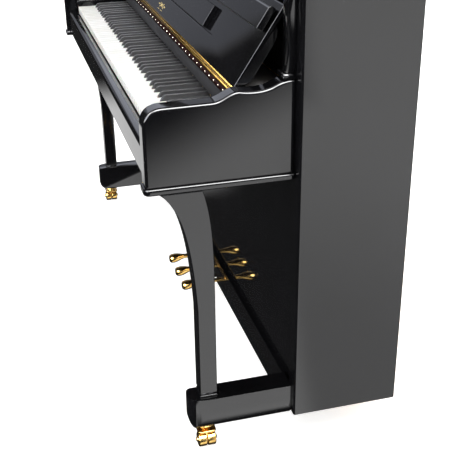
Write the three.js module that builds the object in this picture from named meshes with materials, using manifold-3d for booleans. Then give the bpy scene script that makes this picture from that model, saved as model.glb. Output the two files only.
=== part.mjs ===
// Upright piano: case, keyboard, action, pedals and casters, as separate solids.
// Millimetres. +X to the treble end, +Z up, the player sits on the -Y side.
// While the pieces are drawn, y = 0 is the plane of the white key fronts and z = 0 the floor;
// the whole group is then moved back so that its origin is the middle of its footprint.
import * as THREE from "three";
import { mergeVertices } from "three/addons/utils/BufferGeometryUtils.js";
import Module from "manifold-3d";

const wasm = await Module();
wasm.setup();

// ---- driving dimensions ---------------------------------------------------------------
const GAP = 0.3;                 // clearance between pieces that rest on each other
const SIDE_OUT = 757;            // outer face of a side panel
const SIDE_IN = 719;             // inner face of a side panel
const SIDE_FRONT = 263;          // front edge of the side panels
const BACK = 505;                // back of the case
const SIDE_FOOT = 65;            // lower edge of the side panels
const SIDE_TOP = 1178;           // top of the side panels, under the lid
const LID_TOP = 1205;
const LID_OVER = 760;            // half width of the lid
const LID_FRONT = 236;
const LID_SPLIT = (LID_FRONT + BACK) / 2;

const ARM_IN = 687;              // inner face of a key cheek
const ARM_OUT = 729;             // outer face of a key cheek
const ARM_FRONT = -34;
const ARM_TOP = 789;
const ARM_FOOT = 618;            // underside of the moulding below a cheek
const MOULD_TOP = 632;
const MOULD_OUT = 733;
const MOULD_FRONT = -38;

const TOE_OUT = 742;             // a toe block's inner face is flush with the cheek's
const TOE_FRONT = 33;
const TOE_FOOT = 57;
const TOE_TOP = 134.5;
const LEG_FRONT = 59;
const LEG_REAR = 97;

const KEY_TOP = 725;             // playing surface of the white keys
const KEY_FOOT = 703;            // underside of every key
const NATURALS = 52;
const PITCH = 23.5;              // one white key, centre to centre
const KEYBOARD = NATURALS * PITCH;
const HEAD = 50;                 // wide front part of a white key
const KEY_GAP = 0.9;             // between two white keys
const SHARP_W = 10.6;
const SHARP_TOP = 737;
const SHARP_REAR = 158;          // end of the raised part of a black key
const STICK_REAR = 384;
const SHARP_STICK_REAR = 366;
const COMB_BAR = 12;             // rail that joins a group of white keys behind the black ones
const BRIDGE_Y = [200, 222];     // rail that joins a group of black keys
const BRIDGE_Z = [728.5, 736.5];

const BED_FOOT = 632;
const BED_TOP = 668;
const SLIP = [-27.5, -3];        // front and back of the key slip
const SLIP_FOOT = 635;
const SLIP_TOP = 703;

const FALL_AXIS_Y = 150.6;       // hinge line of the fallboard
const FALL_AXIS_Z = 797;
const FALL_OPEN = 56.31;         // degrees above the horizontal, leaning back
const FALL_HALF = 680;
const FALL_LENGTH = 186;
const FALL_THIN = 10;
const FALL_THICK = 25;
const RECESS = { x: 412, y0: 52, y1: 114, depth: 12 };
const DESK = { x: 320, y0: 55, y1: 108, z0: -11, z1: -0.5 };
const LIP = { x: 678, y0: 121, y1: 171, z0: 8, z1: 22.5 };

const PEDAL_X = { soft: -87, practice: 0, sustain: 87 };
const PEDAL_PIVOT_Y = 330;
const PEDAL_Z = [50, 60];        // underside and top of a pedal's lever
const PEDAL_HALF = 8;
const PEDAL_HEAD = { y: 177, z: 53, half: [17, 19, 12] };
const PIN_R = 3;

// Swivel axes: the front casters stand under the toe blocks, the rear ones under the back frame,
// far enough in for the side panels to hide them.
const CASTER = { front: [706, 72], rear: [640, 462] };
const TRAIL = 12;                // axle outboard of the swivel axis
const WHEEL_R = 17;

// ---- helpers ----------------------------------------------------------------------------
const box = (x0, x1, y0, y1, z0, z1) =>
  new THREE.BoxGeometry(x1 - x0, y1 - y0, z1 - z0)
    .translate((x0 + x1) / 2, (y0 + y1) / 2, (z0 + z1) / 2);

const outline = (points) => new THREE.Shape(points.map(([a, b]) => new THREE.Vector2(a, b)));

// A plan shape (x, y) standing from z0 to z1.
const standing = (shape, z0, z1, curveSegments = 6) =>
  new THREE.ExtrudeGeometry(shape, { depth: z1 - z0, bevelEnabled: false, curveSegments })
    .translate(0, 0, z0);

// A side-view shape (y, z) running along X from x0 to x1, its two rims rounded by `round`.
const alongX = (shape, x0, x1, curveSegments = 6, round = 0) => {
  const geometry = new THREE.ExtrudeGeometry(shape, {
    depth: x1 - x0 - 2 * round, curveSegments, bevelEnabled: round > 0,
    bevelThickness: round, bevelSize: round, bevelOffset: -round, bevelSegments: 2,
  });
  geometry.translate(0, 0, x0 + round);
  return geometry.applyMatrix4(new THREE.Matrix4().makeBasis(
    new THREE.Vector3(0, 1, 0), new THREE.Vector3(0, 0, 1), new THREE.Vector3(1, 0, 0)));
};

// A rectangle with its own radius at each corner: front-left, front-right, back-right, back-left.
const rounded = (x0, x1, y0, y1, r) => {
  const shape = new THREE.Shape();
  shape.moveTo(x0 + r[0], y0);
  shape.lineTo(x1 - r[1], y0);
  if (r[1]) shape.absarc(x1 - r[1], y0 + r[1], r[1], -Math.PI / 2, 0);
  shape.lineTo(x1, y1 - r[2]);
  if (r[2]) shape.absarc(x1 - r[2], y1 - r[2], r[2], 0, Math.PI / 2);
  shape.lineTo(x0 + r[3], y1);
  if (r[3]) shape.absarc(x0 + r[3], y1 - r[3], r[3], Math.PI / 2, Math.PI);
  shape.lineTo(x0, y0 + r[0]);
  if (r[0]) shape.absarc(x0 + r[0], y0 + r[0], r[0], Math.PI, 1.5 * Math.PI);
  return shape;
};

const toSolid = (geometry) => {
  const bare = geometry.clone();
  bare.deleteAttribute("normal");
  bare.deleteAttribute("uv");
  const merged = mergeVertices(bare, 1e-4);
  return new wasm.Manifold(new wasm.Mesh({
    numProp: 3,
    vertProperties: Float32Array.from(merged.attributes.position.array),
    triVerts: Uint32Array.from(merged.index.array),
  }));
};

const toGeometry = (solid) => {
  const mesh = solid.getMesh();
  const geometry = new THREE.BufferGeometry();
  geometry.setAttribute("position", new THREE.BufferAttribute(mesh.vertProperties, 3));
  geometry.setIndex(new THREE.BufferAttribute(mesh.triVerts, 1));
  return geometry;
};

const join = (geometries) =>
  toGeometry(geometries.map(toSolid).reduce((all, one) => all.add(one)));

const cut = (geometry, tools) =>
  toGeometry(tools.map(toSolid).reduce((rest, tool) => rest.subtract(tool), toSolid(geometry)));

// Turns a geometry's triangles over after it has been mirrored left to right.
const mirrored = (geometry) => {
  const copy = mergeVertices(geometry.clone().applyMatrix4(new THREE.Matrix4().makeScale(-1, 1, 1)));
  const index = copy.index.array;
  for (let i = 0; i < index.length; i += 3) [index[i], index[i + 1]] = [index[i + 1], index[i]];
  return copy;
};

const piano = new THREE.Group();
const FOOTPRINT_MIDDLE = (MOULD_FRONT + BACK) / 2;
piano.position.y = -FOOTPRINT_MIDDLE;

const finish = {
  lacquer: [0x0d0d0f, 0.06, 0.0],
  inside: [0x191512, 0.5, 0.0],
  spruce: [0xc9a66b, 0.6, 0.0],
  beech: [0xb98f5f, 0.6, 0.0],
  ivory: [0xf6f4ee, 0.18, 0.0],
  ebony: [0x151515, 0.3, 0.0],
  brass: [0xc79a3e, 0.2, 1.0],
  iron: [0xa5843f, 0.45, 0.6],
  felt: [0xd9d2c4, 0.95, 0.0],
};

const add = (name, geometry, look, parent = piano) => {
  const [color, roughness, metalness] = finish[look];
  const material = new THREE.MeshStandardMaterial({ color, roughness, metalness });
  const mesh = new THREE.Mesh(geometry, material);
  mesh.name = name;
  parent.add(mesh);
  return mesh;
};

const addPair = (name, geometry, look) => {
  add(`${name}_treble`, geometry, look);
  add(`${name}_bass`, mirrored(geometry), look);
};

// ---- case -------------------------------------------------------------------------------
const EDGE = 5;                  // rounding of the panels' outer edges
const sidePanel = () =>
  standing(rounded(SIDE_IN, SIDE_OUT, SIDE_FRONT, BACK, [0, EDGE, EDGE, 0]), SIDE_FOOT, SIDE_TOP, 4);

// The cheek at each end of the keyboard: level along the keys, then a swell up to the fallboard's
// hinge and a shallow hollow that rises again to the side panel.
const armOutline = () => {
  const shape = new THREE.Shape();
  const back = SIDE_FRONT - GAP;
  shape.moveTo(ARM_FRONT, MOULD_TOP - 4);
  shape.lineTo(ARM_FRONT, 748);
  shape.quadraticCurveTo(ARM_FRONT, ARM_TOP - 1, 6, ARM_TOP);
  shape.lineTo(100, ARM_TOP + 1);
  shape.bezierCurveTo(122, ARM_TOP + 2, 132, 807, 152, 807);
  shape.bezierCurveTo(176, 802, 204, 803, 222, 812);
  shape.bezierCurveTo(234, 818, 246, 821, back, 821);
  shape.lineTo(back, MOULD_TOP - 4);
  return shape;
};
const arm = () => join([
  alongX(armOutline(), ARM_IN, ARM_OUT, 8, 5),
  standing(rounded(ARM_IN, MOULD_OUT, MOULD_FRONT, SIDE_FRONT - GAP, [4, 12, 0, 0]),
    ARM_FOOT, MOULD_TOP, 4),
]);

// Half-round strip up the front edge of each side panel, on a small plinth above the cheek.
const PLINTH = { foot: 821.5, top: 832, front: 238 };
const STRIP_FRONT = 244;
const pilaster = () => join([
  standing(rounded(ARM_IN + 3, ARM_OUT - 2, STRIP_FRONT, SIDE_FRONT - GAP, [9, 9, 0, 0]),
    PLINTH.foot + 2, SIDE_TOP, 4),
  standing(rounded(ARM_IN, ARM_OUT, PLINTH.front, SIDE_FRONT - GAP, [2, 2, 0, 0]),
    PLINTH.foot, PLINTH.top, 2),
]);

// Straight leg that sweeps forward under the front of the cheek.
const leg = () => {
  const top = ARM_FOOT - GAP;
  const shape = new THREE.Shape();
  shape.moveTo(LEG_FRONT, TOE_TOP + GAP);
  shape.lineTo(LEG_REAR, TOE_TOP + GAP);
  shape.lineTo(LEG_REAR, 400);
  shape.bezierCurveTo(LEG_REAR, 490, LEG_REAR - 2, 560, 77, top);
  shape.lineTo(-9, top);
  shape.bezierCurveTo(38, 582, 52, 480, LEG_FRONT, 350);
  return alongX(shape, ARM_IN, ARM_OUT, 8);
};

// Foot of the side panel and leg: its nose is rounded below and in plan.
const TOE_NOSE = 24;
const toeBlock = () => {
  const back = SIDE_FRONT - GAP;
  const side = rounded(TOE_FRONT, back, TOE_FOOT, TOE_TOP, [TOE_NOSE, 0, 0, 0]);
  const plan = rounded(ARM_IN, TOE_OUT, TOE_FRONT, back, [14, 20, 0, 0]);
  return toGeometry(toSolid(alongX(side, ARM_IN, TOE_OUT, 5))
    .intersect(toSolid(standing(plan, TOE_FOOT - 1, TOE_TOP, 5))));
};

addPair("side_panel", sidePanel(), "lacquer");
addPair("arm", arm(), "lacquer");
addPair("pilaster", pilaster(), "lacquer");
addPair("leg", leg(), "lacquer");
addPair("toe_block", toeBlock(), "lacquer");

// Keybed: between the cheeks in front, between the side panels behind.
const BED_REAR = 390;
const keybed = () => standing(outline([
  [-ARM_IN + GAP, SLIP[1] + GAP], [ARM_IN - GAP, SLIP[1] + GAP],
  [ARM_IN - GAP, SIDE_FRONT + GAP], [SIDE_IN - GAP, SIDE_FRONT + GAP],
  [SIDE_IN - GAP, BED_REAR], [-SIDE_IN + GAP, BED_REAR],
  [-SIDE_IN + GAP, SIDE_FRONT + GAP], [-ARM_IN + GAP, SIDE_FRONT + GAP],
]), BED_FOOT, BED_TOP);
add("keybed", keybed(), "lacquer");

const keySlip = () => alongX(
  rounded(SLIP[0], SLIP[1], SLIP_FOOT, SLIP_TOP, [3, 0, 2, 12.5]), -ARM_IN + GAP, ARM_IN - GAP, 4);
add("key_slip", keySlip(), "lacquer");

const BLOCK = { inner: KEYBOARD / 2 + 1.5, rear: 146, top: 744 };
const keyBlock = () => alongX(rounded(SLIP[1] + 0.5, BLOCK.rear, BED_TOP + GAP, BLOCK.top,
  [0, 0, 0, 8]), BLOCK.inner, ARM_IN - GAP, 4);
addPair("key_block", keyBlock(), "lacquer");

// Rail behind the keys that carries the fallboard's hinge, with a shelf behind it that closes the
// space over the key ends as far as the upper panel.
const RAIL = { front: 148, back: 166, foot: 741.5, top: 792.5, shelf: 783, shelfBack: 269.5 };
const fallRail = () => alongX(outline([
  [RAIL.front, RAIL.foot], [RAIL.back, RAIL.foot], [RAIL.back, RAIL.shelf],
  [RAIL.shelfBack, RAIL.shelf], [RAIL.shelfBack, RAIL.top], [RAIL.front, RAIL.top],
]), -ARM_IN + 3, ARM_IN - 3);
add("fall_rail", fallRail(), "lacquer");

// Lower case: rail with three notches for the pedals, the board above it and the base board.
const BOTTOM_RAIL = [258, 290];
const NOTCH = { half: 14, top: 84 };
const bottomRail = () => cut(
  box(-ARM_IN + GAP, ARM_IN - GAP, BOTTOM_RAIL[0], BOTTOM_RAIL[1], TOE_FOOT, TOE_TOP),
  Object.values(PEDAL_X).map((x) =>
    box(x - NOTCH.half, x + NOTCH.half, BOTTOM_RAIL[0] - 1, BOTTOM_RAIL[1] + 1,
      TOE_FOOT - 1, NOTCH.top)));
add("bottom_rail", bottomRail(), "lacquer");
const PLATE_HALF = 214;
add("pedal_plate", box(-PLATE_HALF, PLATE_HALF, BOTTOM_RAIL[0] - 2.3, BOTTOM_RAIL[0] - GAP,
  TOE_TOP - 13.5, TOE_TOP - 1), "brass");
const BOARD = [268, 286];
add("bottom_board", box(-SIDE_IN + GAP, SIDE_IN - GAP, ...BOARD, TOE_TOP + GAP, BED_FOOT - GAP),
  "lacquer");

const BASE = [66, 90];
const LUG = { y0: 318, y1: 342, in: 12, out: 19, foot: 44 };
const baseBoard = () => {
  const lugs = [];
  const bores = [];
  for (const x of Object.values(PEDAL_X)) {
    for (const side of [-1, 1]) {
      lugs.push(box(Math.min(side * LUG.in, side * LUG.out) + x,
        Math.max(side * LUG.in, side * LUG.out) + x, LUG.y0, LUG.y1, LUG.foot, BASE[0] + 1));
    }
    bores.push(new THREE.CylinderGeometry(PIN_R + 0.4, PIN_R + 0.4, 2 * LUG.out + 4, 12)
      .rotateZ(Math.PI / 2).translate(x, PEDAL_PIVOT_Y, (PEDAL_Z[0] + PEDAL_Z[1]) / 2));
  }
  const board = box(-SIDE_IN + GAP, SIDE_IN - GAP, BOTTOM_RAIL[1] + GAP, 423, ...BASE);
  return cut(join([board, ...lugs]), bores);
};
add("base_board", baseBoard(), "inside");

const PANEL = [270, 290];
add("upper_panel", box(-SIDE_IN + GAP, SIDE_IN - GAP, ...PANEL, RAIL.top + 1, SIDE_TOP - 2),
  "lacquer");

const lid = (y0, y1, r) =>
  alongX(rounded(y0, y1, SIDE_TOP + GAP, LID_TOP, r), -LID_OVER, LID_OVER, 3);
add("top_lid_rear", lid(LID_SPLIT + 0.5, BACK, [0, 4, 4, 0]), "lacquer");
add("top_lid_front", lid(LID_FRONT, LID_SPLIT - 0.5, [8, 0, 0, 8]), "lacquer");

// ---- fallboard, its folding lip and the music desk in its inner face ------------------------
// Local frame: x along the hinge, y up the board from the hinge, z out of its inner face.
const fall = new THREE.Group();
fall.position.set(0, FALL_AXIS_Y, FALL_AXIS_Z);
fall.rotation.x = THREE.MathUtils.degToRad(FALL_OPEN);
piano.add(fall);

const fallboard = () => {
  const shape = new THREE.Shape();
  shape.moveTo(4, 0);
  shape.lineTo(4, -FALL_THIN);
  shape.lineTo(13, -FALL_THIN);
  shape.quadraticCurveTo(22, -FALL_THICK, 42, -FALL_THICK);
  shape.lineTo(112, -FALL_THICK);
  shape.quadraticCurveTo(136, -FALL_THICK, 146, -FALL_THIN);
  shape.lineTo(FALL_LENGTH, -FALL_THIN);
  shape.lineTo(FALL_LENGTH, -3);
  shape.quadraticCurveTo(FALL_LENGTH, 0, FALL_LENGTH - 3, 0);
  return cut(alongX(shape, -FALL_HALF, FALL_HALF, 5),
    [box(-RECESS.x, RECESS.x, RECESS.y0, RECESS.y1, -RECESS.depth, 1)]);
};
add("fallboard", fallboard(), "lacquer", fall);
add("fallboard_lip", alongX(rounded(LIP.y0, LIP.y1, LIP.z0, LIP.z1, [2, 2, 7, 2]),
  -LIP.x, LIP.x, 3), "lacquer", fall);
add("music_desk", alongX(rounded(DESK.y0, DESK.y1, DESK.z0, DESK.z1, [1, 1, 2, 1]),
  -DESK.x, DESK.x, 2), "lacquer", fall);

// ---- keyboard ---------------------------------------------------------------------------------
// White keys are counted from the bass, starting with an A. SHIFT gives how far the black key to
// the right of each letter sits from the line between its two neighbours.
const LETTERS = ["A", "B", "C", "D", "E", "F", "G"];
const SHIFT = { C: -2.5, D: 2.5, F: -3.5, G: 0, A: 3.5 };
const letter = (i) => LETTERS[i % LETTERS.length];
const leftOf = (i) => i * PITCH - KEYBOARD / 2;
const hasSharp = (i) => i >= 0 && i < NATURALS - 1 && letter(i) in SHIFT;
const sharpX = (i) => leftOf(i + 1) + SHIFT[letter(i)];
const TAIL_GAP = 1;

const natural = (i, rear = STICK_REAR) => {
  const x0 = leftOf(i) + KEY_GAP / 2;
  const x1 = leftOf(i + 1) - KEY_GAP / 2;
  const t0 = hasSharp(i - 1) ? sharpX(i - 1) + SHARP_W / 2 + TAIL_GAP : x0;
  const t1 = hasSharp(i) ? sharpX(i) - SHARP_W / 2 - TAIL_GAP : x1;
  const points = [[x0, 0], [x1, 0]];
  if (t1 < x1) points.push([x1, HEAD - 1], [t1, HEAD - 1]);
  points.push([t1, rear], [t0, rear]);
  if (t0 > x0) points.push([t0, HEAD - 1], [x0, HEAD - 1]);
  return standing(outline(points), KEY_FOOT, KEY_TOP);
};

// Black key: sloping front, raised top, then its stick at the height of the white keys.
const sharp = (i) => alongX(outline([
  [HEAD, KEY_FOOT], [SHARP_STICK_REAR, KEY_FOOT], [SHARP_STICK_REAR, KEY_TOP],
  [SHARP_REAR, KEY_TOP], [SHARP_REAR, SHARP_TOP], [HEAD + 9, SHARP_TOP], [HEAD + 4, SHARP_TOP - 2],
  [HEAD, KEY_TOP - 1],
]), sharpX(i) - SHARP_W / 2, sharpX(i) + SHARP_W / 2);

const range = (from, to) => Array.from({ length: to - from + 1 }, (_, k) => from + k);
const naturalGroup = (from, to) => join([
  ...range(from, to).map((i) => natural(i, STICK_REAR - COMB_BAR + 1)),
  box(leftOf(from) + KEY_GAP, leftOf(to + 1) - KEY_GAP, STICK_REAR - COMB_BAR, STICK_REAR,
    KEY_FOOT, KEY_TOP),
]);
const sharpGroup = (from, to) => {
  const keys = range(from, to).filter(hasSharp);
  const web = keys.map((i) => box(sharpX(i) - SHARP_W / 2, sharpX(i) + SHARP_W / 2,
    ...BRIDGE_Y, KEY_TOP - 1, BRIDGE_Z[0] + 1));
  const rail = box(sharpX(keys[0]) - SHARP_W / 2, sharpX(keys.at(-1)) + SHARP_W / 2,
    ...BRIDGE_Y, ...BRIDGE_Z);
  return join([...keys.map(sharp), ...web, rail]);
};

const MIDDLE_C = 23;
const MIDDLE_B = MIDDLE_C + 6;
add("naturals_bass", naturalGroup(0, MIDDLE_C - 1), "ivory");
add("sharps_bass", sharpGroup(0, MIDDLE_C - 2), "ebony");
for (const i of range(MIDDLE_C, MIDDLE_B)) {
  add(`key_${letter(i).toLowerCase()}4`, natural(i), "ivory");
  if (hasSharp(i)) add(`key_${letter(i).toLowerCase()}4_sharp`, sharp(i), "ebony");
}
add("naturals_treble", naturalGroup(MIDDLE_B + 1, NATURALS - 1), "ivory");
add("sharps_treble", sharpGroup(MIDDLE_B + 1, NATURALS - 2), "ebony");

// Key frame: a board with three rails, screwed to the keybed.
const keyFrame = () => join([
  box(-KEYBOARD / 2, KEYBOARD / 2, 12, 386, BED_TOP + GAP, 676),
  box(-KEYBOARD / 2, KEYBOARD / 2, 14, 44, 675, 690),
  box(-KEYBOARD / 2, KEYBOARD / 2, 204, 216, 675, 701.5),
  box(-KEYBOARD / 2, KEYBOARD / 2, 352, 382, 675, 702),
]);
add("key_frame", keyFrame(), "beech");

// ---- action ---------------------------------------------------------------------------------
const ACTION_HALF = 690;
const KEYS = 88;
const STEP = (KEYBOARD - PITCH) / (KEYS - 1);
const keyLine = (k) => (k - (KEYS - 1) / 2) * STEP;

add("action_rail", box(-ACTION_HALF, ACTION_HALF, 327, 342, 782, 802), "beech");

const SPAN = 640;                // half length of the rails that carry the 88 hammers
const hammers = () => {
  const shape = outline([
    [315, 815], [321, 815], [322, 868], [352, 874], [352, 880], [318, 887],
  ]);
  const heads = range(0, KEYS - 1).map((k) => alongX(shape, keyLine(k) - 4.5, keyLine(k) + 4.5));
  return join([box(-SPAN, SPAN, 311, 324.5, 806, 818), ...heads]);
};
add("hammers", hammers(), "felt");

const DAMPERS = 68;
const dampers = () => {
  const shape = outline([[350, 796], [355, 796], [356, 838], [381, 838], [381, 858], [350, 858]]);
  const heads = range(0, DAMPERS - 1).map((k) => alongX(shape, keyLine(k) - 5, keyLine(k) + 5));
  return join([box(keyLine(0) - 12, keyLine(DAMPERS - 1) + 12, 347, 358, 788, 799), ...heads]);
};
add("dampers", dampers(), "felt");
const practiceFelt = () => join([
  box(-SPAN, SPAN, 368, 373, 912, 952),
  box(-SPAN - 10, SPAN + 10, 366, 375, 950, 964),
]);
add("practice_felt", practiceFelt(), "felt");

// ---- back ------------------------------------------------------------------------------------
// Cast plate: a slab with its bass corner cut away, a thick pin field above and four ribs.
const PLATE = { front: 393, back: 402, foot: 150, top: 1148, pins: 1030, ribs: [-560, -210, 150, 480] };
const ironPlate = () => {
  const slab = box(-ACTION_HALF, ACTION_HALF, PLATE.front, PLATE.back, PLATE.foot, PLATE.top);
  const corner = standing(outline([[0, 0], [330, 0], [0, 300]]), 0, 40)
    .rotateX(Math.PI / 2).translate(-ACTION_HALF - 1, PLATE.back + 10, PLATE.foot - 1);
  const ribs = PLATE.ribs.map((x) =>
    box(x - 9, x + 9, PLATE.front - 6, PLATE.front + 1, 740, PLATE.pins + 10));
  const pinField = box(-ACTION_HALF, ACTION_HALF, PLATE.front - 9, PLATE.front + 1,
    PLATE.pins, PLATE.top);
  return cut(join([slab, pinField, ...ribs]), [corner]);
};
add("iron_plate", ironPlate(), "iron");
add("soundboard", box(-ACTION_HALF, ACTION_HALF, 412, 421, 110, 1120), "spruce");

const POST = { y0: 424, half: 31, pitch: 344, foot: TOE_FOOT, top: 1160, beam: 90 };
const backFrame = () => {
  const end = 2 * POST.pitch + POST.half - GAP;
  const frame = box(-end, end, POST.y0, BACK - 1, POST.foot, POST.top);
  const windows = [-1.5, -0.5, 0.5, 1.5].map((k) => box(
    k * POST.pitch - POST.pitch / 2 + POST.half, k * POST.pitch + POST.pitch / 2 - POST.half,
    POST.y0 - 1, BACK, POST.foot + POST.beam, POST.top - POST.beam));
  return cut(frame, windows);
};
add("back_frame", backFrame(), "beech");

// ---- pedals ------------------------------------------------------------------------------------
// Lever with a rounded head; its cross pin turns in the base board's lugs.
const pedal = (x) => {
  const lever = box(x - PEDAL_HALF, x + PEDAL_HALF, PEDAL_HEAD.y, PEDAL_PIVOT_Y + 12, ...PEDAL_Z);
  const head = new THREE.SphereGeometry(1, 18, 12).scale(...PEDAL_HEAD.half)
    .translate(x, PEDAL_HEAD.y, PEDAL_HEAD.z);
  const pin = new THREE.CylinderGeometry(PIN_R, PIN_R, 2 * LUG.out - 4, 12).rotateZ(Math.PI / 2)
    .translate(x, PEDAL_PIVOT_Y, (PEDAL_Z[0] + PEDAL_Z[1]) / 2);
  return join([lever, head, pin]);
};
for (const [name, x] of Object.entries(PEDAL_X)) add(`pedal_${name}`, pedal(x), "brass");

// ---- casters -----------------------------------------------------------------------------------
// Twin-wheel caster, drawn about its swivel axis with the axle outboard on +X and the floor at z = 0.
const casterFork = () => {
  const web = outline([[-4, 40], [-4, 34], [TRAIL - 8, 12], [TRAIL - 4, 9], [TRAIL + 4, 9],
    [TRAIL + 8, 13], [TRAIL + 8, 40]]);
  const body = join([
    new THREE.CylinderGeometry(25, 25, 3, 24).rotateX(Math.PI / 2).translate(0, 0, 55.2),
    new THREE.CylinderGeometry(11, 14, 10, 20).rotateX(Math.PI / 2).translate(0, 0, 49.2),
    standing(rounded(-16, TRAIL + 14, -21, 21, [6, 6, 6, 6]), 37.5, 45, 3),
    standing(web, -1.3, 1.3).rotateX(Math.PI / 2),
  ]);
  return cut(body, [new THREE.CylinderGeometry(4.9, 4.9, 6, 16).translate(TRAIL, 0, WHEEL_R)]);
};
const casterWheels = () => {
  const half = [[0, 24], [5.5, 22], [5.5, 19.5], [WHEEL_R - 1, 19.5], [WHEEL_R, 18.5],
    [WHEEL_R, 2.2], [4.5, 2.2]];
  const profile = [...half.map(([r, y]) => [r, -y]), ...half.toReversed()];
  return new THREE.LatheGeometry(profile.map(([r, y]) => new THREE.Vector2(r, y)), 20)
    .translate(TRAIL, 0, WHEEL_R);
};
for (const [end, [x, y]] of Object.entries(CASTER)) {
  for (const [side, sign] of [["treble", 1], ["bass", -1]]) {
    const caster = new THREE.Group();
    caster.position.set(sign * x, y, 0);
    if (sign < 0) caster.rotation.z = Math.PI;
    piano.add(caster);
    add(`caster_fork_${end}_${side}`, casterFork(), "brass", caster);
    add(`caster_wheels_${end}_${side}`, casterWheels(), "brass", caster);
  }
}

export default piano;
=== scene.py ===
"""Upright piano in black gloss: finished pieces, materials and studio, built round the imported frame."""

import math

import bmesh
import bpy
from mathutils import Matrix, Vector


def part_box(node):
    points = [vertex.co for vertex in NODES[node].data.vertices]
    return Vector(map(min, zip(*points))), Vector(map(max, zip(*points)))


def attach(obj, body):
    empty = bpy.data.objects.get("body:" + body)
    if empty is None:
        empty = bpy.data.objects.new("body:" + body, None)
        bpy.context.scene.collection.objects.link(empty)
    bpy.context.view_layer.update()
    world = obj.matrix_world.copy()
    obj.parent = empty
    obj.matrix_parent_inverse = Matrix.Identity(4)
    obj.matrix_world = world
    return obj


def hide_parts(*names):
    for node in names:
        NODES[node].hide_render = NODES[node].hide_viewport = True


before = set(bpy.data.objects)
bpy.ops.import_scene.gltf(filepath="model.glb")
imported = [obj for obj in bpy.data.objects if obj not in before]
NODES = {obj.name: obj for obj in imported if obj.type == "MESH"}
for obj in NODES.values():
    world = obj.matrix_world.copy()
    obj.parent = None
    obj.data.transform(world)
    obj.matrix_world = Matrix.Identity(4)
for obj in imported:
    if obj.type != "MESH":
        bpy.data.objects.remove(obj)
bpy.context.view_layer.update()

bl_info = {
    "name": "Upright Piano",
    "version": (1, 0, 0),
    "blender": (4, 5, 0),
    "location": "3D View > Sidebar > Piano",
    "description": "Builds a black gloss upright piano, piece by piece, round its frame",
    "category": "Object",
}

MM = 0.001
KEY_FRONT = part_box("naturals_bass")[0].y       # plane of the white keys' fronts
ENDS = {"treble": 1, "bass": -1}                # the two ends of the keyboard and their way along X


# ---- colours and materials ---------------------------------------------------------------

def srgb(code, alpha=1.0):
    """An sRGB hex colour as the linear RGBA that shader sockets take."""
    channels = [int(code[i:i + 2], 16) / 255 for i in (0, 2, 4)]
    return [c / 12.92 if c <= 0.04045 else ((c + 0.055) / 1.055) ** 2.4 for c in channels] + [alpha]


def add_node(tree, kind, values=None, links=None, **settings):
    """Adds one node: `settings` are its properties, `values` its sockets, `links` what feeds them."""
    made = tree.nodes.new(kind)
    for name, value in settings.items():
        setattr(made, name, value)
    for name, value in (values or {}).items():
        made.inputs[name].default_value = value
    for name, source in (links or {}).items():
        tree.links.new(source, made.inputs[name])
    return made


def new_material(name, **sockets):
    """A Principled material with its plain sockets set, its tree and its shader node."""
    material = bpy.data.materials.new(name)
    material.use_nodes = True
    tree = material.node_tree
    shader = tree.nodes["Principled BSDF"]
    for socket, value in sockets.items():
        shader.inputs[socket.replace("_", " ")].default_value = value
    material.diffuse_color = shader.inputs["Base Color"].default_value
    return material, tree, shader


def place(tree, stretch=(1, 1, 1)):
    """Object coordinates, stretched."""
    where = add_node(tree, "ShaderNodeTexCoord")
    return add_node(tree, "ShaderNodeMapping", {"Scale": stretch},
                    {"Vector": where.outputs["Object"]}).outputs["Vector"]


def noise(tree, vector, size_mm, detail=3.0, roughness=0.5):
    """Noise whose features are about size_mm across."""
    return add_node(tree, "ShaderNodeTexNoise",
                    {"Scale": 1000 / size_mm, "Detail": detail, "Roughness": roughness},
                    {"Vector": vector}).outputs["Fac"]


def spread(tree, value, low, high, from_low=0.3, from_high=0.7):
    """Maps a noise value to the range low..high."""
    return add_node(tree, "ShaderNodeMapRange",
                    {"From Min": from_low, "From Max": from_high, "To Min": low, "To Max": high},
                    {"Value": value}).outputs["Result"]


def two_colours(tree, value, first, second):
    """A colour that runs from the first to the second as the value goes from 0.3 to 0.7."""
    ramp = add_node(tree, "ShaderNodeValToRGB", links={"Fac": value})
    ramp.color_ramp.elements[0].color = srgb(first)
    ramp.color_ramp.elements[1].color = srgb(second)
    ramp.color_ramp.elements[0].position = 0.3
    ramp.color_ramp.elements[1].position = 0.7
    return ramp.outputs["Color"]


def bump(tree, shader, height, depth_mm, strength=1.0):
    """Raises the surface by depth_mm where height is 1."""
    made = add_node(tree, "ShaderNodeBump", {"Strength": strength, "Distance": depth_mm * MM},
                    {"Height": height})
    tree.links.new(made.outputs["Normal"], shader.inputs["Normal"])


def finish_of(name, colours, cloud, gloss, grain=None, stretch=(1, 1, 1), **sockets):
    """The plan most finishes share: two colours in clouds, uneven gloss and a fine grain.
    cloud is (size mm, detail), gloss (size mm, detail, least, most roughness) and grain
    (size mm, detail, depth mm, strength)."""
    material, tree, shader = new_material(name, **sockets)
    at = place(tree, stretch)
    tree.links.new(two_colours(tree, noise(tree, at, *cloud), *colours), shader.inputs["Base Color"])
    tree.links.new(spread(tree, noise(tree, at, *gloss[:2]), *gloss[2:]), shader.inputs["Roughness"])
    if grain:
        bump(tree, shader, noise(tree, at, *grain[:2]), *grain[2:])
    return material


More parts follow.
